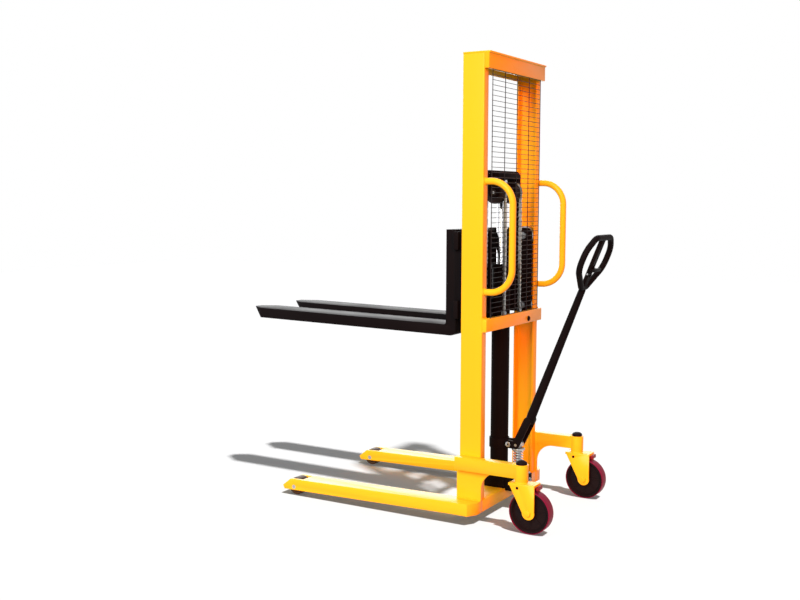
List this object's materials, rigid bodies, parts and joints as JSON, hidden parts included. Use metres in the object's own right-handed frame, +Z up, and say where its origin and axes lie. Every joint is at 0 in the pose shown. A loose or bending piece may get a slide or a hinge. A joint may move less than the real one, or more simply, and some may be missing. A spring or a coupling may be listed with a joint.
{
  "type": "hand pallet stacker",
  "caption": "Yellow hand pallet stacker with a guarded mast, black hanging forks, straddling legs, a pump tiller and rear swivel castors.",
  "frame": {"origin": "middle of the bounding box at floor level", "axes": "+X towards the fork tips, +Y to the machine's left, +Z up"},
  "size_m": [1.7198, 0.75, 1.98],
  "materials": {
    "yellow_paint": "gloss",
    "black_paint": "gloss",
    "steel": "satin",
    "chain_steel": "oiled",
    "wire": "satin",
    "chrome": "polished",
    "black_plastic": "matte",
    "maroon_tread": "satin",
    "roller_plastic": "satin",
    "red_paint": "gloss"
  },
  "bodies": {
    "chassis": {"left_upright": "yellow_paint", "right_upright": "yellow_paint", "top_crossbeam": "yellow_paint", "middle_crossbeam": "yellow_paint", "beam_fittings": "steel", "guard_mesh": "wire", "left_grab_handle": "yellow_paint", "right_grab_handle": "yellow_paint", "base_crossbeam": "yellow_paint", "left_base_leg": "yellow_paint", "right_base_leg": "yellow_paint", "load_roller_axles": "steel", "left_rear_arm": "yellow_paint", "right_rear_arm": "yellow_paint", "swivel_caps": "black_plastic", "lift_cylinder": "black_paint", "cylinder_gland": "black_paint", "cylinder_clamp": "black_paint", "pump_block": "black_paint", "pump_spring": "steel", "tiller_bracket": "black_paint", "chain_fixed_runs": "chain_steel"},
    "ram": {"ram_rod": "chrome", "crosshead": "black_paint", "wheel_axles": "steel", "guard_hoop": "black_paint", "chain_wraps": "chain_steel"},
    "carriage": {"left_side_plate": "black_paint", "right_side_plate": "black_paint", "upper_fork_bar": "black_paint", "lower_fork_bar": "black_paint", "carriage_axles": "steel", "chain_tie": "black_paint", "chain_moving_runs": "chain_steel"},
    "tiller": {"tiller_bar": "black_paint", "tiller_loop": "black_paint", "tiller_pins": "steel"},
    "press_roller": {"press_roller": "steel"},
    "release_lever": {"release_lever": "black_paint"},
    "plunger": {"pump_plunger": "steel"},
    "left_chain_wheel": {"left_chain_wheel": "steel"},
    "left_upper_roller": {"left_upper_roller": "steel"},
    "left_lower_roller": {"left_lower_roller": "steel"},
    "left_fork": {"left_fork": "black_paint"},
    "left_castor": {"left_castor_fork": "yellow_paint", "left_castor_bolts": "yellow_paint"},
    "left_wheel": {"left_castor_hub": "black_plastic", "left_castor_tread": "maroon_tread"},
    "left_pedal": {"left_brake_pedal": "red_paint"},
    "left_load_roller": {"left_load_roller": "roller_plastic"},
    "right_chain_wheel": {"right_chain_wheel": "steel"},
    "right_upper_roller": {"right_upper_roller": "steel"},
    "right_lower_roller": {"right_lower_roller": "steel"},
    "right_fork": {"right_fork": "black_paint"},
    "right_castor": {"right_castor_fork": "yellow_paint", "right_castor_bolts": "yellow_paint"},
    "right_wheel": {"right_castor_hub": "black_plastic", "right_castor_tread": "maroon_tread"},
    "right_pedal": {"right_brake_pedal": "red_paint"},
    "right_load_roller": {"right_load_roller": "roller_plastic"}
  },
  "joints": [
    {"name": "ram_lift", "type": "slide", "parent": "chassis", "child": "ram", "axis": [0, 0, 1], "range_m": [-0.3715, 0.32], "deforming": ["chain_fixed_runs"]},
    {"name": "carriage_lift", "type": "slide", "parent": "ram", "child": "carriage", "axis": [0, 0, 1], "range_m": [-0.3715, 0.32], "deforming": ["chain_moving_runs"]},
    {"name": "tiller_swing", "type": "hinge", "parent": "chassis", "child": "tiller", "pos_m": [-0.43413, 0, 0.288], "axis": [0, -1, 0], "range_deg": [0, 45], "stiffness_Nm_per_rad": 40, "springref_deg": -45.84},
    {"name": "pump_stroke", "type": "slide", "parent": "chassis", "child": "plunger", "axis": [0, 0, -1], "range_m": [0, 0.0295], "deforming": ["pump_spring"]},
    {"name": "press_roller_turn", "type": "hinge", "parent": "tiller", "child": "press_roller", "pos_m": [-0.47013, 0, 0.288], "axis": [0, 1, 0], "continuous": true},
    {"name": "release_squeeze", "type": "hinge", "parent": "tiller", "child": "release_lever", "pos_m": [-0.78425, 0, 1.05953], "axis": [0, 1, 0], "range_deg": [0, 14], "stiffness_Nm_per_rad": 0.6, "springref_deg": -28.65},
    {"name": "left_chain_wheel_turn", "type": "hinge", "parent": "ram", "child": "left_chain_wheel", "pos_m": [-0.38313, 0.079, 1.403], "axis": [0, 1, 0], "continuous": true},
    {"name": "left_upper_roller_turn", "type": "hinge", "parent": "carriage", "child": "left_upper_roller", "pos_m": [-0.37613, 0.261, 1.208], "axis": [0, 1, 0], "continuous": true},
    {"name": "left_lower_roller_turn", "type": "hinge", "parent": "carriage", "child": "left_lower_roller", "pos_m": [-0.37613, 0.261, 0.888], "axis": [0, 1, 0], "continuous": true},
    {"name": "left_fork_shift", "type": "slide", "parent": "carriage", "child": "left_fork", "axis": [0, 1, 0], "range_m": [-0.06, 0.02]},
    {"name": "left_castor_swivel", "type": "hinge", "parent": "chassis", "child": "left_castor", "pos_m": [-0.62613, 0.311, 0.214], "axis": [0, 0, 1], "continuous": true},
    {"name": "left_wheel_roll", "type": "hinge", "parent": "left_castor", "child": "left_wheel", "pos_m": [-0.67213, 0.311, 0.09], "axis": [0, 1, 0], "continuous": true},
    {"name": "left_brake_press", "type": "hinge", "parent": "left_castor", "child": "left_pedal", "pos_m": [-0.62213, 0.311, 0.19], "axis": [0, -1, 0], "range_deg": [0, 5], "stiffness_Nm_per_rad": 1.5, "springref_deg": -28.65},
    {"name": "left_load_roller_roll", "type": "hinge", "parent": "chassis", "child": "left_load_roller", "pos_m": [0.49587, 0.3275, 0.04], "axis": [0, 1, 0], "continuous": true},
    {"name": "right_chain_wheel_turn", "type": "hinge", "parent": "ram", "child": "right_chain_wheel", "pos_m": [-0.38313, -0.079, 1.403], "axis": [0, 1, 0], "continuous": true},
    {"name": "right_upper_roller_turn", "type": "hinge", "parent": "carriage", "child": "right_upper_roller", "pos_m": [-0.37613, -0.261, 1.208], "axis": [0, 1, 0], "continuous": true},
    {"name": "right_lower_roller_turn", "type": "hinge", "parent": "carriage", "child": "right_lower_roller", "pos_m": [-0.37613, -0.261, 0.888], "axis": [0, 1, 0], "continuous": true},
    {"name": "right_fork_shift", "type": "slide", "parent": "carriage", "child": "right_fork", "axis": [0, -1, 0], "range_m": [-0.06, 0.02]},
    {"name": "right_castor_swivel", "type": "hinge", "parent": "chassis", "child": "right_castor", "pos_m": [-0.62613, -0.311, 0.214], "axis": [0, 0, 1], "continuous": true},
    {"name": "right_wheel_roll", "type": "hinge", "parent": "right_castor", "child": "right_wheel", "pos_m": [-0.67213, -0.311, 0.09], "axis": [0, 1, 0], "continuous": true},
    {"name": "right_brake_press", "type": "hinge", "parent": "right_castor", "child": "right_pedal", "pos_m": [-0.62213, -0.311, 0.19], "axis": [0, -1, 0], "range_deg": [0, 5], "stiffness_Nm_per_rad": 1.5, "springref_deg": -28.65},
    {"name": "right_load_roller_roll", "type": "hinge", "parent": "chassis", "child": "right_load_roller", "pos_m": [0.49587, -0.3275, 0.04], "axis": [0, 1, 0], "continuous": true}
  ],
  "couplings": [
    {"joint": "carriage_lift", "follows": "ram_lift", "ratio": 1},
    {"joint": "pump_stroke", "follows": "tiller_swing", "m_per_rad": 0.037},
    {"joint": "left_chain_wheel_turn", "follows": "ram_lift", "rad_per_m": -22.222},
    {"joint": "left_upper_roller_turn", "follows": "ram_lift", "rad_per_m": 47.962},
    {"joint": "left_lower_roller_turn", "follows": "ram_lift", "rad_per_m": -47.962},
    {"joint": "right_chain_wheel_turn", "follows": "ram_lift", "rad_per_m": -22.222},
    {"joint": "right_upper_roller_turn", "follows": "ram_lift", "rad_per_m": 47.962},
    {"joint": "right_lower_roller_turn", "follows": "ram_lift", "rad_per_m": -47.962}
  ]
}
